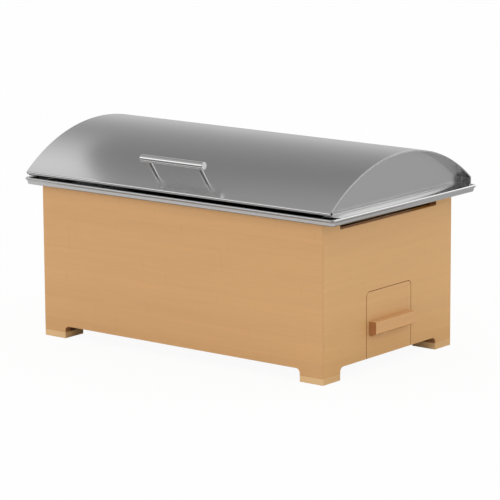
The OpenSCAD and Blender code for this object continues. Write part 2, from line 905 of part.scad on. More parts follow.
// Tray: a bent sheet with side flanges, a front plate behind the door and a rear lip
module tray() {
    x_in = door_in - tray_l;
    difference() {
        union() {
            along_x(x_in, door_in) translate([mid_d, tray_z]) {
                translate([-tray_w / 2, 0]) square([tray_w, tray_sheet]);
                for (s = [0, 1]) mirror([s, 0]) {
                    translate([tray_w / 2 - tray_sheet, 0]) square([tray_sheet, tray_h]);
                    translate([tray_w / 2 - tray_sheet, tray_h - tray_sheet])
                        square([tray_flange + tray_sheet, tray_sheet]);
                }
            }
            translate([door_in - tray_sheet, mid_d - tray_w / 2, tray_z])
                cube([tray_sheet, tray_w, tray_front_h]);
            translate([x_in, mid_d - tray_w / 2, tray_z]) cube([tray_sheet, tray_w, tray_h]);
        }
        tray_screw_places() translate([0, 0, -cut]) cylinder(r = screw_r + hole_play, h = tray_sheet + 2 * cut);
        translate([cup_x, mid_d, tray_z - cut]) cylinder(r = screw_r, h = tray_sheet + 2 * cut);
    }
}

// Cup that holds the can on the tray
module cup() {
    translate([cup_x, mid_d, cup_z]) difference() {
        cylinder(r = cup_r, h = cup_h);
        translate([0, 0, cup_sheet]) cylinder(r = cup_r - cup_sheet, h = cup_h);
        translate([0, 0, -cut]) cylinder(r = screw_r, h = cup_sheet + 2 * cut);
    }
}

// Rivet through the cup and the tray
module cup_rivet() {
    translate([cup_x, mid_d, tray_z]) {
        cylinder(r = screw_r, h = tray_sheet + cup_sheet);
        translate([0, 0, tray_sheet + cup_sheet]) cylinder(r = head_r, h = rivet_head_h);
        translate([0, 0, -rivet_head_h]) cylinder(r = head_r, h = rivet_head_h);
    }
}

// Fuel can: seamed top and bottom, hollow underneath, open mouth with the fuel inside
module fuel_can() {
    seam = 1;
    seam_h = 3;
    sunk = 3;
    wall = can_r - seam;
    top = can_h - sunk;
    fuel_level = can_h - 9;
    translate([cup_x, mid_d, cup_z + cup_sheet]) rotate_extrude() polygon([
        [0, sunk], [wall - sunk, sunk], [wall - seam, 0], [can_r, 0], [can_r, seam_h],
        [wall, seam_h + seam], [wall, can_h - seam_h - seam], [can_r, can_h - seam_h],
        [can_r, can_h], [wall - seam, can_h], [wall - 2 * seam, top],
        [can_mouth_r + 2 * seam, top], [can_mouth_r + seam, top + seam],
        [can_mouth_r, top], [can_mouth_r, fuel_level], [0, fuel_level]]);
}

module right_door() {
    color(bamboo_end) seated() door();
}

module left_door() {
    color(bamboo_end) seated() to_left() door();
}

module right_pull() {
    color(dark_bamboo) seated() pull_bar();
}

module left_pull() {
    color(dark_bamboo) seated() to_left() pull_bar();
}

module right_pull_screws() {
    color(steel) seated() pull_screw_places() machine_screw(pull_screw_l);
}

module left_pull_screws() {
    color(steel) seated() to_left() pull_screw_places() machine_screw(pull_screw_l);
}

module right_tray() {
    color(steel) seated() tray();
}

module left_tray() {
    color(steel) seated() to_left() tray();
}

module right_tray_screws() {
    color(steel) seated() tray_screw_places() machine_screw(tray_screw_l);
}

module left_tray_screws() {
    color(steel) seated() to_left() tray_screw_places() machine_screw(tray_screw_l);
}

module right_cup() {
    color(bright_steel) seated() cup();
}

module left_cup() {
    color(bright_steel) seated() to_left() cup();
}

module right_cup_rivet() {
    color(steel) seated() cup_rivet();
}

module left_cup_rivet() {
    color(steel) seated() to_left() cup_rivet();
}

module right_fuel_can() {
    color(tin) seated() fuel_can();
}

module left_fuel_can() {
    color(tin) seated() to_left() fuel_can();
}

front_panel();
back_panel();
left_end_panel();
right_end_panel();
floor_panel();
front_left_block();
front_right_block();
back_left_block();
back_right_block();
front_left_pad();
front_right_pad();
back_left_pad();
back_right_pad();
front_floor_cleat();
back_floor_cleat();
floor_screws();
front_drawer_guide();
back_drawer_guide();
guide_screws();
pan_frame();
frame_screws();
water_pan();
food_pan();
left_hinge_base();
right_hinge_base();
left_hinge_pin();
right_hinge_pin();
hinge_rivets();
lid_barrel();
lid_left_cap();
lid_right_cap();
left_hinge_leaf();
right_hinge_leaf();
lid_handle_bar();
lid_handle_left_post();
lid_handle_right_post();
lid_handle_screws();
lid_handle_washers();
right_door();
right_pull();
right_pull_screws();
right_tray();
right_tray_screws();
right_cup();
right_cup_rivet();
right_fuel_can();
left_door();
left_pull();
left_pull_screws();
left_tray();
left_tray_screws();
left_cup();
left_cup_rivet();
left_fuel_can();
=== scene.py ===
import json
import math

import bmesh
import bpy
import numpy as np
from mathutils import Matrix, Vector


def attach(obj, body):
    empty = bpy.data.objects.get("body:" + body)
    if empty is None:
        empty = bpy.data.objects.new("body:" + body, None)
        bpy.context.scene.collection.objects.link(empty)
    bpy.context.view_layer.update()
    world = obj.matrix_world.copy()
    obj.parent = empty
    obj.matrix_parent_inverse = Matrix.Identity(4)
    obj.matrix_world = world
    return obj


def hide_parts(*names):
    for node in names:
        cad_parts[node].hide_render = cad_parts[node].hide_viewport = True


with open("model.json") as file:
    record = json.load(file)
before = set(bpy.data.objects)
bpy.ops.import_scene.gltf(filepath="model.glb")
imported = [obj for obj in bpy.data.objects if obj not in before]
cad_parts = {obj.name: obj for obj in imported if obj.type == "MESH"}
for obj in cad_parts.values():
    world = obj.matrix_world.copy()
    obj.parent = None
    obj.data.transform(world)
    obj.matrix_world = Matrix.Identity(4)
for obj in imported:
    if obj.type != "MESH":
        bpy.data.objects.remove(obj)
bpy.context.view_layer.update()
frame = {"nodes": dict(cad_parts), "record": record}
cadNodes = frame["nodes"]
record = frame["record"]
bodyOf = {node: body for body, members in record["behaviour"]["bodies"].items() for node in members}
slotOf = {part["node"]: part["material_slot"] for part in record["subparts"]}
replaced = set()
print("stage: frame loaded,", len(cadNodes), "nodes")

# Sizes are millimetres in the housing's own frame, as in the CAD source: x = 0 in the middle,
# y = 0 on the front face, z up. The row frame's origin lies this far behind the front face
middleY = 174.347


def toRow(points):
    return (np.asarray(points, float) - (0, middleY, 0)) / 1000


# A written screen colour, 0 to 255 a channel, as the linear colour that shaders take
def linear(red, green, blue):
    share = np.array([red, green, blue]) / 255
    return (*np.where(share <= 0.04045, share / 12.92, ((share + 0.055) / 1.055) ** 2.4), 1.0)


# Shader nodes


# Adds a shader node. A value that is a socket is linked, and any other is set on the input
def add(tree, kind, settings, inputs):
    made = tree.nodes.new("ShaderNode" + kind)
    for key, value in settings.items():
        setattr(made, key, value)
    for key, value in inputs.items():
        if isinstance(value, bpy.types.NodeSocket):
            tree.links.new(value, made.inputs[key])
        else:
            made.inputs[key].default_value = value
    return made


def calc(tree, operation, *values):
    return add(tree, "Math", {"operation": operation}, dict(enumerate(values))).outputs[0]


# 0 below the first edge, 1 above the second, and a smooth step between them
def ramp(tree, value, low, high, start=0.0, end=1.0):
    inputs = {"Value": value, "From Min": low, "From Max": high, "To Min": start, "To Max": end}
    return add(tree, "MapRange", {"interpolation_type": "SMOOTHSTEP"}, inputs).outputs["Result"]


def mixColour(tree, factor, first, second):
    return add(tree, "Mix", {"data_type": "RGBA"}, {0: factor, 6: first, 7: second}).outputs[2]


def scaled(tree, vector, factor):
    return add(tree, "VectorMath", {"operation": "SCALE"}, {0: vector, "Scale": factor}).outputs[0]


def noise(tree, vector, detail):
    return add(tree, "TexNoise", {}, {"Vector": vector, "Scale": 1.0, "Detail": detail}).outputs[0]


def newGroup(name, inputs, outputs):
    group = bpy.data.node_groups.new(name, "ShaderNodeTree")
    for title, kind in inputs:
        group.interface.new_socket(title, in_out="INPUT", socket_type="NodeSocket" + kind)
    for title, kind in outputs:
        group.interface.new_socket(title, in_out="OUTPUT", socket_type="NodeSocket" + kind)
    return group, group.nodes.new("NodeGroupInput").outputs, group.nodes.new("NodeGroupOutput").inputs


# Bamboo strips: each strip across the grain has a tone of its own and a knuckle every 0.3 m at
# a place of its own, and fine fibres run along it. All of them lighten or darken the tone
def makeBambooStrips():
    spacing = 0.31
    group, given, result = newGroup(
        "bambooStrips",
        [("Along", "Float"), ("Across", "Float"), ("Strip", "Float"), ("Tone", "Color"),
         ("Contrast", "Float")],
        [("Color", "Color"), ("Roughness", "Float"), ("Height", "Float")])
    place = calc(group, "DIVIDE", given["Across"], given["Strip"])
    strip = calc(group, "FLOOR", place)

    def chanceOf(value):
        return add(group, "TexWhiteNoise", {"noise_dimensions": "1D"}, {"W": value}).outputs[0]

    chance = chanceOf(strip)
    shift = chanceOf(calc(group, "ADD", strip, 0.37))
    fromSeam = calc(group, "ABSOLUTE", calc(group, "SUBTRACT", calc(group, "FRACT", place), 0.5))
    seam = ramp(group, fromSeam, 0.475, 0.497)
    turn = calc(group, "FRACT", calc(group, "ADD", calc(group, "DIVIDE", given["Along"], spacing), shift))
    fromMiddle = calc(group, "ABSOLUTE", calc(group, "SUBTRACT", turn, 0.5))
    fromKnuckle = calc(group, "MULTIPLY", fromMiddle, spacing)
    knuckle = ramp(group, fromKnuckle, 0.0006, 0.0024, 1.0, 0.0)

    def grain(along, across, depth, detail):
        vector = add(group, "CombineXYZ", {}, {
            0: calc(group, "MULTIPLY", given["Along"], along),
            1: calc(group, "MULTIPLY", given["Across"], across),
            2: calc(group, "MULTIPLY", strip, depth)}).outputs[0]
        return calc(group, "SUBTRACT", noise(group, vector, detail), 0.5)

    fibres = grain(30, 1300, 3.1, 3)
    streaks = grain(5, 150, 1.7, 2)
    level = 1.0
    parts = ((calc(group, "SUBTRACT", chance, 0.5), 0.035), (fibres, 0.13), (streaks, 0.11),
             (knuckle, -0.03), (seam, -0.02))
    for part, weight in parts:
        share = calc(group, "MULTIPLY", given["Contrast"], weight)
        level = calc(group, "MULTIPLY_ADD", part, share, level)
    group.links.new(scaled(group, given["Tone"], level), result["Color"])
    group.links.new(calc(group, "MULTIPLY_ADD", fibres, 0.25, 0.42), result["Roughness"])
    raised = calc(group, "MULTIPLY_ADD", knuckle, 0.5, fibres)
    sunk = calc(group, "MULTIPLY", seam, 0.8)
    group.links.new(calc(group, "SUBTRACT", raised, sunk), result["Height"])
    return group


# Steel grain: a fine grain, stretched by the scaled vector, and broad handling marks
def makeSteelGrain():
    group, given, result = newGroup(
        "steelGrain",
        [("Grain", "Vector"), ("Place", "Vector"), ("Tone", "Color"), ("Rough", "Float"),
         ("Streak", "Float"), ("Marks", "Float")],
        [("Color", "Color"), ("Roughness", "Float"), ("Height", "Float")])
    grain = calc(group, "SUBTRACT", noise(group, given["Grain"], 3), 0.5)
    marks = calc(group, "SUBTRACT", noise(group, scaled(group, given["Place"], 9.0), 3), 0.5)
    rough = calc(group, "MULTIPLY_ADD", grain, given["Streak"], given["Rough"])
    group.links.new(calc(group, "MULTIPLY_ADD", marks, given["Marks"], rough), result["Roughness"])
    level = calc(group, "MULTIPLY_ADD", grain, calc(group, "MULTIPLY", given["Streak"], 1.2), 1.0)
    group.links.new(scaled(group, given["Tone"], level), result["Color"])
    group.links.new(grain, result["Height"])
    return group


bambooStrips = makeBambooStrips()
steelGrain = makeSteelGrain()


def newMaterial(name):
    material = bpy.data.materials.new(name)
    material.use_nodes = True
    tree = material.node_tree
    coords = tree.nodes.new("ShaderNodeTexCoord").outputs
    return material, tree, tree.nodes["Principled BSDF"], coords


# along and across name the object's axes that run with and across the strips, and faces whose
# normal lies along the grain show the darker end grain. The last argument is painted light: a lighter,
# warmer tone for sawn faces that look up in the frame's shade, and the height in metres that they lie above
def makeBamboo(name, tone, endTone, along="X", across="Z", contrast=1.0, strip=0.0165, coat=0.1,
               paintedLightLedge=None):
    material, tree, shader, coords = newMaterial(name)
    place = add(tree, "SeparateXYZ", {}, {0: coords["Object"]}).outputs
    facing = add(tree, "SeparateXYZ", {}, {0: coords["Normal"]}).outputs
    endGrain = ramp(tree, calc(tree, "ABSOLUTE", facing[along]), 0.72, 0.9)
    tones = mixColour(tree, endGrain, linear(*tone), linear(*endTone))
    # Painted light: sawn faces that look up above that height, the slot's lower face among them, take a
    # lighter, warmer tone than the frame's shade would leave them
    if paintedLightLedge:
        paintedLightTone, height = paintedLightLedge
        paintedLightMask = calc(tree, "MULTIPLY", ramp(tree, facing["Z"], 0.8, 0.95),
                      ramp(tree, place["Z"], height, height + 0.001))
        tones = mixColour(tree, paintedLightMask, tones, linear(*paintedLightTone))
    grain = tree.nodes.new("ShaderNodeGroup")
    grain.node_tree = bambooStrips
    values = {"Along": place[along], "Across": place[across], "Strip": strip, "Tone": tones,
              "Contrast": contrast}
    for key, value in values.items():
        if isinstance(value, bpy.types.NodeSocket):
            tree.links.new(value, grain.inputs[key])
        else:
            grain.inputs[key].default_value = value
    bump = add(tree, "Bump", {}, {"Strength": 0.25, "Distance": 0.0002, "Height": grain.outputs["Height"]})
    tree.links.new(grain.outputs["Color"], shader.inputs["Base Color"])
    tree.links.new(grain.outputs["Roughness"], shader.inputs["Roughness"])
    tree.links.new(bump.outputs[0], shader.inputs["Normal"])
    shader.inputs["Coat Weight"].default_value = coat
    shader.inputs["Coat Roughness"].default_value = 0.3
    return material


# grain is the number of grain lines per metre along each axis. Brushed steel spreads its
# reflections across the grain: brushed is the axis that the grain follows, and how much.
# polished is a share of the roughness and two places in Y, between which it grows to the whole
def makeSteel(name, tone, rough, streak=0.06, marks=0.05, grain=(8, 900, 900), bump=0.05, brushed=None,
              polished=None):
    material, tree, shader, coords = newMaterial(name)
    stretched = add(tree, "Mapping", {}, {"Vector": coords["Object"], "Scale": grain}).outputs[0]
    made = tree.nodes.new("ShaderNodeGroup")
    made.node_tree = steelGrain
    tree.links.new(stretched, made.inputs["Grain"])
    tree.links.new(coords["Object"], made.inputs["Place"])
    for key, value in {"Tone": linear(*tone), "Rough": rough, "Streak": streak, "Marks": marks}.items():
        made.inputs[key].default_value = value
    relief = add(tree, "Bump", {}, {"Strength": bump, "Distance": 0.0001, "Height": made.outputs["Height"]})
    tree.links.new(made.outputs["Color"], shader.inputs["Base Color"])
    roughness = made.outputs["Roughness"]
    if polished:
        share, edge, whole = polished
        place = add(tree, "SeparateXYZ", {}, {0: coords["Object"]}).outputs["Y"]
        roughness = calc(tree, "MULTIPLY", roughness, ramp(tree, place, edge, whole, share, 1.0))
    tree.links.new(roughness, shader.inputs["Roughness"])
    tree.links.new(relief.outputs[0], shader.inputs["Normal"])
    shader.inputs["Metallic"].default_value = 1.0
    if brushed:
        shader.inputs["Anisotropic"].default_value = brushed[1]
        shader.inputs["Anisotropic Rotation"].default_value = 0.25
        tree.links.new(add(tree, "CombineXYZ", {}, {brushed[0]: 1.0}).outputs[0], shader.inputs["Tangent"])
    return material


steelTone = (209, 209, 209)
finishes = {
    "bamboo_front": makeBamboo("bambooFront", (218, 168, 112), (162, 108, 66)),
    # The end panels' upward sawn faces, the slot's lower face among them, carry a painted-light tone
    "bamboo_end": makeBamboo("bambooEnd", (217, 169, 111), (162, 108, 66), along="Y",
                             paintedLightLedge=((255, 176, 84), 0.15)),
    # Inner pieces are unlacquered, and their darker tone is also painted shade for the shade under the dish
    "bamboo_inner": makeBamboo("bambooInner", (140, 96, 58), (110, 72, 42), contrast=1.4, coat=0.0),
    "bamboo_pad": makeBamboo("bambooPad", (234, 194, 140), (222, 180, 124), contrast=0.6),
    "bamboo_pull": makeBamboo("bambooPull", (217, 167, 111), (178, 120, 74), along="Y", strip=0.009),
    "screw_steel": makeSteel("screwSteel", (196, 197, 199), 0.3, grain=(300, 300, 300)),
    "frame_steel": makeSteel("frameSteel", steelTone, 0.2, 0.03, 0.02, grain=(300, 300, 300), bump=0.02),
    "pan_steel": makeSteel("panSteel", (200, 201, 203), 0.26, 0.02, 0.04, grain=(60, 60, 60), bump=0.004),
    "lid_steel": makeSteel("lidSteel", steelTone, 0.2, 0.03, 0.01, bump=0.01, brushed=("X", 0.9),
                           polished=(0.35, -0.1848, -0.1836)),
    "cap_steel": makeSteel("capSteel", steelTone, 0.2, 0.015, 0.02, grain=(300, 8, 300), bump=0.01),
    "handle_steel": makeSteel("handleSteel", (226, 226, 226), 0.16, grain=(8, 900, 900)),
    "tray_steel": makeSteel("traySteel", (196, 197, 199), 0.3, grain=(12, 600, 600)),
    "can_tin": makeSteel("canTin", (190, 190, 192), 0.34, grain=(300, 300, 60)),
}
print("stage: finishes made,", len(finishes))

# Mesh tools


def linkPiece(name, mesh):
    piece = bpy.data.objects.new(name, mesh)
    bpy.context.scene.collection.objects.link(piece)
    return piece


# Grids of points, each rows by columns by 3, become quads that join each point to its
# neighbours. A closed direction joins its last line to its first, and a cap is one face
def gridPiece(name, grids, closedRows=False, closedColumns=False, caps=False, sharp=35):
    faces = []
    start = 0
    for points in grids:
        rows, columns = points.shape[:2]
        index = start + np.arange(rows * columns).reshape(rows, columns)
        if caps:
            faces += [index[0].tolist(), index[-1].tolist()]
        if closedRows:
            index = np.vstack([index, index[:1]])
        if closedColumns:
            index = np.hstack([index, index[:, :1]])
        quads = np.stack([index[:-1, :-1], index[:-1, 1:], index[1:, 1:], index[1:, :-1]], -1)
        faces += quads.reshape(-1, 4).tolist()
        start += rows * columns
    mesh = bpy.data.meshes.new(name)
    mesh.from_pydata(np.vstack([points.reshape(-1, 3) for points in grids]).tolist(), [], faces)
    work = bmesh.new()
    work.from_mesh(mesh)
    bmesh.ops.recalc_face_normals(work, faces=work.faces)
    work.to_mesh(mesh)
    work.free()
    mesh.shade_smooth()
    mesh.set_sharp_from_angle(angle=math.radians(sharp))
    piece = linkPiece(name, mesh)
    weighted = piece.modifiers.new("evenNormals", "WEIGHTED_NORMAL")
    weighted.keep_sharp = True
    return piece


# The piece stands for CAD nodes: it rides on their body and takes their finish
def standsFor(piece, *names):
    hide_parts(*names)
    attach(piece, bodyOf[names[0]])
    piece.data.materials.clear()
    piece.data.materials.append(finishes[slotOf[names[0]]])
    replaced.update(names)
    return piece


def camelName(node):
    first, *rest = node.split("_")
    return first + "".join(word.capitalize() for word in rest)


# A copy of a CAD node with its loose triangles merged, its flat neighbours joined and its
# sharp edges rounded by a narrow bevel
def easedCopy(node, width, segments=2):
    mesh = cadNodes[node].data.copy()
    work = bmesh.new()
    work.from_mesh(mesh)
    bmesh.ops.remove_doubles(work, verts=work.verts, dist=1e-6)
    bmesh.ops.dissolve_limit(work, angle_limit=math.radians(0.4), verts=work.verts, edges=work.edges)
    work.to_mesh(mesh)
    work.free()
    mesh.shade_smooth()
    mesh.set_sharp_from_angle(angle=math.radians(30))
    piece = linkPiece(camelName(node), mesh)
    bevel = piece.modifiers.new("easedEdges", "BEVEL")
    bevel.width = width / 1000
    bevel.segments = segments
    bevel.limit_method = "ANGLE"
    bevel.angle_limit = math.radians(30)
    bevel.harden_normals = True
    return standsFor(piece, node)


# A rounded rectangle w by d with corner radius r around (0, y) at height z: the centre of each
# corner plus r times a direction that turns through a quarter
def planLoop(w, d, r, y, z, steps=12):
    angle = np.linspace(0, np.pi / 2, steps)[None, :] + np.arange(4)[:, None] * np.pi / 2
    sideX = np.array([1, -1, -1, 1])[:, None]
    sideY = np.array([1, 1, -1, -1])[:, None]
    x = sideX * (w / 2 - r) + r * np.cos(angle)
    return np.stack([x, y + sideY * (d / 2 - r) + r * np.sin(angle), np.full_like(x, z)], -1).reshape(-1, 3)


# Points on a circle from one angle to another, in degrees
def arc(centre, radius, start, end, count):
    angle = np.radians(np.linspace(start, end, count))
    return np.stack([centre[0] + radius * np.cos(angle), centre[1] + radius * np.sin(angle)], -1)


# A curve from start to end that is drawn towards a corner point
def softCorner(start, corner, end, count=6):
    t = np.linspace(0, 1, count)[:, None]
    return (1 - t) ** 2 * np.array(start) + 2 * t * (1 - t) * np.array(corner) + t ** 2 * np.array(end)


# A solid of revolution: each profile point (radius, height) turns round the axis
def turned(base, axis, profile, steps=64):
    axis = np.array(axis) / np.linalg.norm(axis)
    side = np.cross(axis, (0.0, 0.0, 1.0) if abs(axis[2]) < 0.9 else (1.0, 0.0, 0.0))
    side /= np.linalg.norm(side)
    other = np.cross(axis, side)
    angle = np.linspace(0, 2 * np.pi, steps, endpoint=False)
    ring = np.cos(angle)[:, None] * side + np.sin(angle)[:, None] * other
    profile = np.array(profile, float)
    return toRow(np.array(base) + profile[:, None, 1:] * axis + profile[:, None, :1] * ring)


# Pans and their frame

pans = {
    "sheet": 1.0, "draft": 9.0, "floorRadius": 10.0, "floorEdge": 4.0, "bend": 2.5, "centreY": 167.5,
    "food": {"node": "food_pan", "w": 507.0, "d": 302.0, "r": 40.0, "depth": 65.0, "flange": 11.5,
             "seat": 247.5},
    "water": {"node": "water_pan", "w": 510.2, "d": 305.2, "r": 41.6, "depth": 100.0, "flange": 15.0,
              "seat": 246.5},
}


# Offsets from the well's outline and heights over the flange's underside: from the floor's flat
# part up the inside, over the flange and down the outside, back under the floor's flat part
def panSection(depth, flange):
    sheet, bend = pans["sheet"], pans["bend"]
    foot = (-pans["draft"] - pans["floorRadius"], sheet - depth + pans["floorRadius"])
    over = (bend - sheet, sheet - bend)
    edge = (flange - sheet / 2, sheet / 2)
    flat = foot[0] - pans["floorEdge"]
    return np.vstack([
        [(flat, 2 * sheet - depth)],
        arc(foot, pans["floorRadius"] - sheet, -90, 0, 10),
        arc(over, bend, 180, 90, 7),
        arc(edge, sheet / 2, 90, -90, 5),
        arc(over, bend - sheet, 90, 180, 5),
        arc(foot, pans["floorRadius"], 0, -90, 10),
        [(flat, sheet - depth)]])


def makePan(pan):
    rows = [planLoop(pan["w"] + 2 * offset, pan["d"] + 2 * offset, pan["r"] + offset,
                     pans["centreY"], pan["seat"] + height)
            for offset, height in panSection(pan["depth"], pan["flange"])]
    piece = gridPiece(camelName(pan["node"]), [toRow(np.array(rows))], closedColumns=True, caps=True)
    standsFor(piece, pan["node"])


makePan(pans["food"])
makePan(pans["water"])

panFrame = {"w": 617.0, "d": 376.0, "centreY": 176.0, "z": 245.0, "corner": 7.0, "sheet": 1.5,
            "beadRadius": 2.5, "bead": (4.5, 9.0), "beadTurn": (234.6, -88), "wall": 1.5,
            "lean": 0.25, "ease": 0.3, "mouth": {"w": 511.4, "d": 306.4, "r": 42.2}}


# The frame's section runs from its mouth over the ledge, up the inside of the leaning wall,
# round the bead, down the outside and back underneath
def makePanFrame():
    corner, lean, sheet, ease = (panFrame[key] for key in ("corner", "lean", "sheet", "ease"))
    inner, outer = panFrame["wall"], 2 * panFrame["wall"]
    wall = np.vstack([
        [(ease, sheet)],
        softCorner((0.5, sheet), (inner + lean * sheet, sheet), (inner + lean * 3, 3)),
        arc(panFrame["bead"], panFrame["beadRadius"], *panFrame["beadTurn"], 24),
        softCorner((outer + lean * 2, 2), (outer, 0), (1, 0)),
        [(ease, 0)]])
    mouth = panFrame["mouth"]

    def mouthLoop(grow, height):
        return planLoop(mouth["w"] + 2 * grow, mouth["d"] + 2 * grow, mouth["r"] + grow,
                        pans["centreY"], panFrame["z"] + height)

    rows = [mouthLoop(ease, 0), mouthLoop(0, ease), mouthLoop(0, sheet - ease), mouthLoop(ease, sheet)]
    rows += [planLoop(panFrame["w"] - 2 * (corner - out), panFrame["d"] - 2 * (corner - out), out,
                      panFrame["centreY"], panFrame["z"] + height) for out, height in wall]
    piece = gridPiece("panFrame", [toRow(np.array(rows))], closedRows=True, closedColumns=True, sharp=50)
    standsFor(piece, "pan_frame")


makePanFrame()

frameScrews = {"x": 236.0, "y": (6.0, 329.0), "z": 246.5, "head": 3.5, "dome": 0.8, "shank": 1.75,
               "length": 18.0, "point": 3.5, "slot": (0.5, 1.9, 0.8), "rings": 22}


# A raised countersunk screw: a dome with a cross sunk into it, a cone, a shank and a point
def makeFrameScrews():
    head, dome, shank, rings = (frameScrews[key] for key in ("head", "dome", "shank", "rings"))
    half, reach, depth = frameScrews["slot"]
    length = frameScrews["length"]
    radius = np.concatenate([np.linspace(0.05, head, rings), [shank, shank, 0.2]])
    drop = np.concatenate([dome * (1 - np.linspace(0, 1, rings) ** 2) + 0.05,
                           [shank - head, frameScrews["point"] - length, -length]])
    angle = np.linspace(0, 2 * np.pi, 64, endpoint=False)
    x, y = radius[:, None] * np.cos(angle), radius[:, None] * np.sin(angle)
    arm = np.minimum(np.abs(x), np.abs(y)) < half
    onDome = np.arange(len(radius))[:, None] < rings
    inside = arm & (np.maximum(np.abs(x), np.abs(y)) < reach) & onDome
    z = drop[:, None] - depth * inside
    grids = [toRow(np.stack([sx * frameScrews["x"] + x, cy + y, frameScrews["z"] + z], -1))
             for sx in (-1, 1) for cy in frameScrews["y"]]
    standsFor(gridPiece("frameScrews", grids, closedColumns=True, caps=True), "frame_screws")


makeFrameScrews()
print("stage: pans and frame made")

# Lid

lid = {"radius": 288.0, "centreY": 173.643, "centreZ": 45.617, "sheet": 1.2, "half": 302.5,
       "rollRadius": 3.25, "rollY": -8.75, "curl": 290, "backY": 355.3, "skirtZ": 257.4, "bend": 2.5,
       "edge": 0.6}
lid["rollZ"] = lid["centreZ"] + math.sqrt(
    (lid["radius"] - lid["rollRadius"]) ** 2 - (lid["centreY"] - lid["rollY"]) ** 2)


# The sheet's middle line in Y and Z: a curl that is tangent to the barrel, the barrel's circle,
# a bend and the upright skirt
def barrelLine():
    half = lid["sheet"] / 2
    centre = (lid["centreY"], lid["centreZ"])
    start = math.degrees(math.atan2(lid["rollZ"] - centre[1], lid["rollY"] - centre[0]))
    curl = arc((lid["rollY"], lid["rollZ"]), lid["rollRadius"] - half, start + lid["curl"], start, 48)
    bendY = lid["backY"] - lid["bend"]
    bendZ = centre[1] + math.sqrt((lid["radius"] - lid["bend"]) ** 2 - (bendY - centre[0]) ** 2)
    end = math.degrees(math.atan2(bendZ - centre[1], bendY - centre[0]))
    return np.vstack([
        curl[:-1],
        arc(centre, lid["radius"] - half, start, end, 160),
        arc((bendY, bendZ), lid["bend"] - half, end, 0, 8)[1:],
        [(lid["backY"] - half, lid["skirtZ"])]])


# The barrel carries the sheet's cross-section, 605 mm wide with rounded edges, along that line
def makeBarrel():
    line = barrelLine()
    along = np.gradient(line, axis=0)
    along[0], along[-1] = line[1] - line[0], line[-1] - line[-2]
    along /= np.linalg.norm(along, axis=1)[:, None]
    outward = np.stack([-along[:, 1], along[:, 0]], -1)
    half, edge = lid["sheet"] / 2, lid["edge"]
    corner = arc((lid["half"] - edge, half - edge), edge, 0, 90, 6)
    section = np.vstack([corner, corner[::-1] * (-1, 1), corner * (-1, -1), corner[::-1] * (1, -1)])
    grid = np.empty((len(line), len(section), 3))
    grid[..., 0] = section[:, 0]
    grid[..., 1:] = line[:, None, :] + section[None, :, 1:] * outward[:, None, :]
    standsFor(gridPiece("lidBarrel", [toRow(grid)], closedColumns=True, caps=True), "lid_barrel")


makeBarrel()

caps = {"innerX": 285.3, "outerX": 302.5, "sheet": 1.2, "bend": 1.8, "bottomZ": 256.8, "frontY": -6.5,
        "backY": 354.1, "corner": 1.9, "clear": 0.1, "toe": (11.0, 2.4), "heel": 4.0,
        "hem": (8.0, 2.9, 6.0)}


# The end plate's outline in Y and Z, inset by t: the bottom, the rear, the barrel's circle, then
# round the under side of the front curl and down the front
def capOutline(t):
    centre = np.array((lid["centreY"], lid["centreZ"]))
    radius = lid["radius"] - lid["sheet"] - caps["clear"] - t
    curl = np.array((lid["rollY"], lid["rollZ"]))
    curlRadius = lid["rollRadius"] + caps["clear"] + t
    bottom, back, front = caps["bottomZ"] + t, caps["backY"] - t, caps["frontY"] + t
    ease = max(caps["corner"] - t, 0.1)
    topZ = centre[1] + math.sqrt((radius - ease) ** 2 - (back - ease - centre[0]) ** 2)
    rear = math.degrees(math.atan2(topZ - centre[1], back - ease - centre[0]))
    apart = np.linalg.norm(curl - centre)
    toCurl = math.degrees(math.atan2(*(curl - centre)[::-1]))
    swing = math.degrees(math.acos((radius ** 2 + apart ** 2 - curlRadius ** 2) / (2 * radius * apart)))
    meetTurn = math.radians(toCurl - swing)
    meet = centre + radius * np.array((math.cos(meetTurn), math.sin(meetTurn)))
    curlStart = math.degrees(math.atan2(*(meet - curl)[::-1]))
    curlEnd = -math.degrees(math.acos((front - curl[0]) / curlRadius))
    toe, rise = caps["toe"][0], caps["toe"][1] - t / 2
    return np.vstack([
        np.linspace((front, bottom + rise), (front + toe, bottom), 5)[:-1],
        np.linspace((front + toe, bottom), (back - caps["heel"], bottom), 24),
        arc((back - ease, bottom + ease), ease, -90, 0, 6),
        arc((back - ease, topZ), ease, 0, rear, 6),
        arc(centre, radius, rear, toCurl - swing, 140)[1:-1],
        arc(curl, curlRadius, curlStart, curlEnd, 16)])


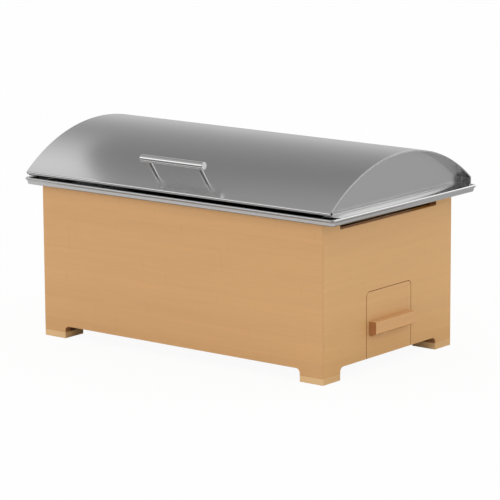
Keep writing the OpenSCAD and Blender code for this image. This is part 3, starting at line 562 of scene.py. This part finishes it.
# The end plate and its flange: insets and distances from the middle, from the plate's inner face
# round the bend, along the flange, over its lip, back along it and onto the plate's outer face.
# The lower flange's edge turns down by the hem: its run, its drop, and the length behind the toe
# over which the drop begins
def makeCap(side, node):
    sheet, bend, inner, outer = caps["sheet"], caps["bend"], caps["innerX"], caps["outerX"]
    turn = np.radians(np.linspace(0, 90, 6))
    tight = bend - sheet
    lip = sheet / 2
    run, drop, begin = caps["hem"]
    flat = np.array([[outer - run, 0]])
    stations = np.vstack([
        np.stack([inner + bend - bend * np.cos(turn), bend - bend * np.sin(turn)], -1),
        flat,
        np.stack([outer - lip + lip * np.sin(2 * turn), lip - lip * np.cos(2 * turn)], -1),
        flat + (0, sheet),
        np.stack([inner + bend - tight * np.sin(turn), sheet + tight - tight * np.cos(turn)], -1)])
    rows = []
    for x, t in stations:
        outline = capOutline(t)
        along = np.clip((outline[:, 0] - caps["frontY"] - caps["toe"][0]) / begin, 0, 1)
        ahead = outline[:, 0] < caps["backY"] - caps["heel"] + 0.1
        low = (outline[:, 1] < caps["bottomZ"] + 2) * np.where(ahead, along, 0)
        outline[:, 1] -= low * drop * np.clip((x - outer + run) / run, 0, 1)
        rows.append(np.column_stack([np.full(len(outline), side * x), outline]))
    piece = gridPiece(camelName(node), [toRow(np.array(rows))], closedColumns=True, caps=True)
    standsFor(piece, node)


makeCap(1, "lid_right_cap")
makeCap(-1, "lid_left_cap")

handle = {"tilt": 34.5, "reach": 35.0, "barLength": 124.0, "barRadius": 6.0, "ease": 0.6,
          "dish": (0.4, 0.15), "pitch": 100.0, "postRadius": 3.5, "postLength": 34.0}


# A bar along x, with ends that are dished inside a rim, on two posts that stand square to the barrel
def makeHandle():
    tilt = math.radians(handle["tilt"])
    outward = np.array((0, -math.sin(tilt), math.cos(tilt)))
    foot = np.array((0, lid["centreY"], lid["centreZ"])) + lid["radius"] * outward
    half, radius, ease = handle["barLength"] / 2, handle["barRadius"], handle["ease"]
    end = arc((radius - ease, half - ease), ease, 90, 0, 5)
    rim, dish = handle["dish"]
    profile = np.vstack([[(0.5, half - dish), (radius - ease - rim, half - dish)], end])
    profile = np.vstack([profile * (1, -1), profile[::-1]])
    bar = turned(foot + handle["reach"] * outward, (1, 0, 0), profile)
    standsFor(gridPiece("lidHandleBar", [bar], closedColumns=True, caps=True), "lid_handle_bar")
    post = handle["postRadius"]
    for name, x in (("left", -1), ("right", 1)):
        base = foot + np.array((x * handle["pitch"] / 2, 0, 0))
        profile = [(post - 0.3, -0.1), (post, 0.2), (post, handle["postLength"])]
        grid = turned(base, outward, profile, steps=48)
        node = "lid_handle_" + name + "_post"
        standsFor(gridPiece(camelName(node), [grid], closedColumns=True, caps=True), node)


makeHandle()
print("stage: lid made")

# The other pieces keep the CAD's shape: bevel widths in millimetres for those that show
easedNodes = {
    0.4: ["front_panel", "back_panel", "left_end_panel", "right_end_panel",
          "front_left_pad", "front_right_pad", "back_left_pad", "back_right_pad"],
    0.6: ["right_door", "left_door", "right_pull", "left_pull"],
    0.35: ["left_hinge_base", "right_hinge_base", "left_hinge_leaf", "right_hinge_leaf",
           "left_hinge_pin", "right_hinge_pin", "hinge_rivets", "right_tray", "left_tray",
           "lid_handle_screws", "lid_handle_washers"],
    0.2: ["right_cup", "left_cup", "right_fuel_can", "left_fuel_can", "right_cup_rivet", "left_cup_rivet"],
}
for width, members in easedNodes.items():
    for node in members:
        easedCopy(node, width)
for node, piece in cadNodes.items():
    if node not in replaced:
        piece.data.materials.clear()
        piece.data.materials.append(finishes[slotOf[node]])
print("stage: eased copies made,", len(cadNodes) - len(replaced), "CAD nodes keep their meshes")

# Studio

studio = {
    # The floor's tones that reflections see are painted light and shade: brighter in front than behind,
    # darker far in front, and a painted shadow round the dish
    "floorHalf": 20.0, "floorShown": 0.94, "floorMirrored": (0.85, 0.48), "floorFade": 0.9,
    "floorFront": (-0.62, -0.47, 0.2), "floorShade": ((0.4, 0.52), (0.26, 0.4), 0.85),
    "sky": ((0.0, 0.8), (0.2, 0.68), (0.45, 0.42), (0.79, 0.22), (1.0, 0.2)),
    "patches": (((0.15, 0.78, 0.6), 0.86, 0.95, 1.6), ((0.62, -0.78, 0.05), 0.75, 0.93, 0.14),
                ((0.2, -0.1, 0.97), 0.52, 0.75, 0.5), ((-0.2, -0.6, 0.77), 0.7, 0.88, 0.48),
                ((-0.61, -0.74, 0.3), 0.98, 0.995, 1.5), ((0.5, 0.35, 0.8), 0.86, 0.94, 1.2)),
    "softBox": {"x": (-1.8, -0.7), "y": (-0.6, 0.6), "z": 0.95, "right": -0.789, "slant": 0.25,
                "fade": (0.01, 0.5, 0.8)},
}


# The surroundings are white. Polished steel sees them as a studio: white near the floor, darker
# overhead, a lit screen behind, the dark side of the room and a lamp in front
def makeWorld():
    world = bpy.data.worlds.new("studio")
    bpy.context.scene.world = world
    world.use_nodes = True
    tree = world.node_tree
    direction = add(tree, "TexCoord", {}, {}).outputs["Generated"]
    height = add(tree, "SeparateXYZ", {}, {0: direction}).outputs["Z"]
    sky = add(tree, "ValToRGB", {}, {0: height})
    stops = sky.color_ramp.elements
    for position, level in studio["sky"][1:-1]:
        stops.new(position)
    for stop, (position, level) in zip(stops, studio["sky"]):
        stop.position = position
        stop.color = (level, level, level, 1)
    seen = sky.outputs[0]
    for towards, start, full, level in studio["patches"]:
        axis = Vector(towards).normalized()
        near = add(tree, "VectorMath", {"operation": "DOT_PRODUCT"}, {0: direction, 1: axis}).outputs["Value"]
        seen = mixColour(tree, ramp(tree, near, start, full), seen, (level, level, level, 1))
    path = add(tree, "LightPath", {}, {}).outputs
    colour = mixColour(tree, path["Is Glossy Ray"], (1, 1, 1, 1), seen)
    background = tree.nodes["Background"]
    tree.links.new(colour, background.inputs["Color"])
    background.inputs["Strength"].default_value = 1.0


# A pale floor that keeps a soft shadow and shows as white. Reflections see it in painted light and shade:
# lighter in front of the dish than behind, much darker beyond about half a metre in front, and a painted
# shadow round the dish
def makeFloor():
    half = studio["floorHalf"]
    corners = np.array([(-half, -half, 0), (half, -half, 0), (half, half, 0), (-half, half, 0)])
    mesh = bpy.data.meshes.new("floor")
    mesh.from_pydata(corners.tolist(), [], [(0, 1, 2, 3)])
    floor = linkPiece("floor", mesh)
    material, tree, shader, coords = newMaterial("paleFloor")
    path = add(tree, "LightPath", {}, {}).outputs
    place = add(tree, "SeparateXYZ", {}, {0: coords["Object"]}).outputs
    # Painted light and shade for reflections only: brighter in front than behind, darker far in front, and a
    # painted shadow round the dish
    near, far = studio["floorMirrored"]
    paintedMirrorTone = ramp(tree, place["Y"], -studio["floorFade"], studio["floorFade"], near, far)
    start, end, share = studio["floorFront"]
    paintedMirrorTone = calc(tree, "MULTIPLY", paintedMirrorTone, ramp(tree, place["Y"], start, end, share, 1.0))
    (x0, x1), (y0, y1), depth = studio["floorShade"]
    shade = calc(tree, "MULTIPLY", ramp(tree, calc(tree, "ABSOLUTE", place["X"]), x0, x1, depth, 0.0),
                 ramp(tree, calc(tree, "ABSOLUTE", place["Y"]), y0, y1, 1.0, 0.0))
    paintedMirrorTone = calc(tree, "MULTIPLY", paintedMirrorTone, calc(tree, "SUBTRACT", 1.0, shade))
    grey = add(tree, "CombineXYZ", {}, {0: paintedMirrorTone, 1: paintedMirrorTone, 2: paintedMirrorTone}).outputs[0]
    colour = mixColour(tree, path["Is Glossy Ray"], (0.85, 0.85, 0.85, 1), grey)
    matt = add(tree, "BsdfDiffuse", {}, {"Color": colour}).outputs[0]
    white = add(tree, "Emission", {}, {"Color": (1, 1, 1, 1), "Strength": 1.0}).outputs[0]
    plain = calc(tree, "MAXIMUM", path["Is Camera Ray"], path["Is Transmission Ray"])
    shown = calc(tree, "MULTIPLY", plain, studio["floorShown"])
    mixed = add(tree, "MixShader", {}, {0: shown, 1: matt, 2: white}).outputs[0]
    tree.nodes.remove(shader)
    tree.links.new(mixed, tree.nodes["Material Output"].inputs["Surface"])
    mesh.materials.append(material)


# A soft box above the left end, which only reflections show. Its light fades at its edges
def makeSoftBox():
    box = studio["softBox"]
    (x0, x1), (y0, y1), z = box["x"], box["y"], box["z"]
    mesh = bpy.data.meshes.new("softBox")
    mesh.from_pydata([(x0, y0, z), (x0, y1, z), (x1, y1, z), (x1, y0, z)], [], [(0, 1, 2, 3)])
    screen = linkPiece("softBox", mesh)
    material, tree, shader, coords = newMaterial("softBoxLight")
    place = add(tree, "SeparateXYZ", {}, {0: coords["Object"]}).outputs
    sharp, long, longest = box["fade"]
    across = calc(tree, "MULTIPLY_ADD", place["Y"], box["slant"], place["X"])
    mask = ramp(tree, across, box["right"] - sharp, box["right"], 1.0, 0.0)
    mask = calc(tree, "MULTIPLY", mask, ramp(tree, place["X"], x0, x0 + long))
    mask = calc(tree, "MULTIPLY", mask, ramp(tree, place["Y"], y0, y0 + long))
    mask = calc(tree, "MULTIPLY", mask, ramp(tree, place["Y"], y1 - longest, y1, 1.0, 0.0))
    clear = add(tree, "BsdfTransparent", {}, {}).outputs[0]
    light = add(tree, "Emission", {}, {"Color": (1, 1, 1, 1), "Strength": 1.0}).outputs[0]
    tree.nodes.remove(shader)
    tree.links.new(add(tree, "MixShader", {}, {0: mask, 1: clear, 2: light}).outputs[0],
                   tree.nodes["Material Output"].inputs["Surface"])
    mesh.materials.append(material)
    for ray in ("camera", "diffuse", "shadow", "transmission", "volume_scatter"):
        setattr(screen, "visible_" + ray, False)


makeWorld()
makeFloor()
makeSoftBox()

# The camera was fitted to the housing's corners. yaw turns it round the dish, pitch raises it,
# and across, up and away place it, in widths of the housing, from the front right lower corner
camera = {"yaw": 0.6714, "pitch": 0.2005, "roll": -0.0058, "across": 0.1948, "up": -0.3626, "away": 7.7197,
          "housing": 560.0, "lens": 208.548, "sensor": 36.0}


def makeCamera():
    yaw, pitch, roll = camera["yaw"], camera["pitch"], camera["roll"]
    back = np.array((math.sin(yaw) * math.cos(pitch), -math.cos(yaw) * math.cos(pitch), math.sin(pitch)))
    level = np.array((math.cos(yaw), math.sin(yaw), 0))
    upright = np.cross(back, level)
    right = level * math.cos(roll) + upright * math.sin(roll)
    up = upright * math.cos(roll) - level * math.sin(roll)
    place = back * camera["away"] - right * camera["across"] - up * camera["up"]
    place = toRow(place * camera["housing"] + (camera["housing"] / 2, 0, 0))
    data = bpy.data.cameras.new("camera")
    data.lens = camera["lens"]
    data.sensor_width = camera["sensor"]
    eye = bpy.data.objects.new("camera", data)
    bpy.context.scene.collection.objects.link(eye)
    turn = np.column_stack([right, up, back, place])
    eye.matrix_world = Matrix([*turn.tolist(), [0, 0, 0, 1]])
    bpy.context.scene.camera = eye


makeCamera()
bpy.context.scene.view_settings.view_transform = "Standard"
print("stage: studio and camera set")
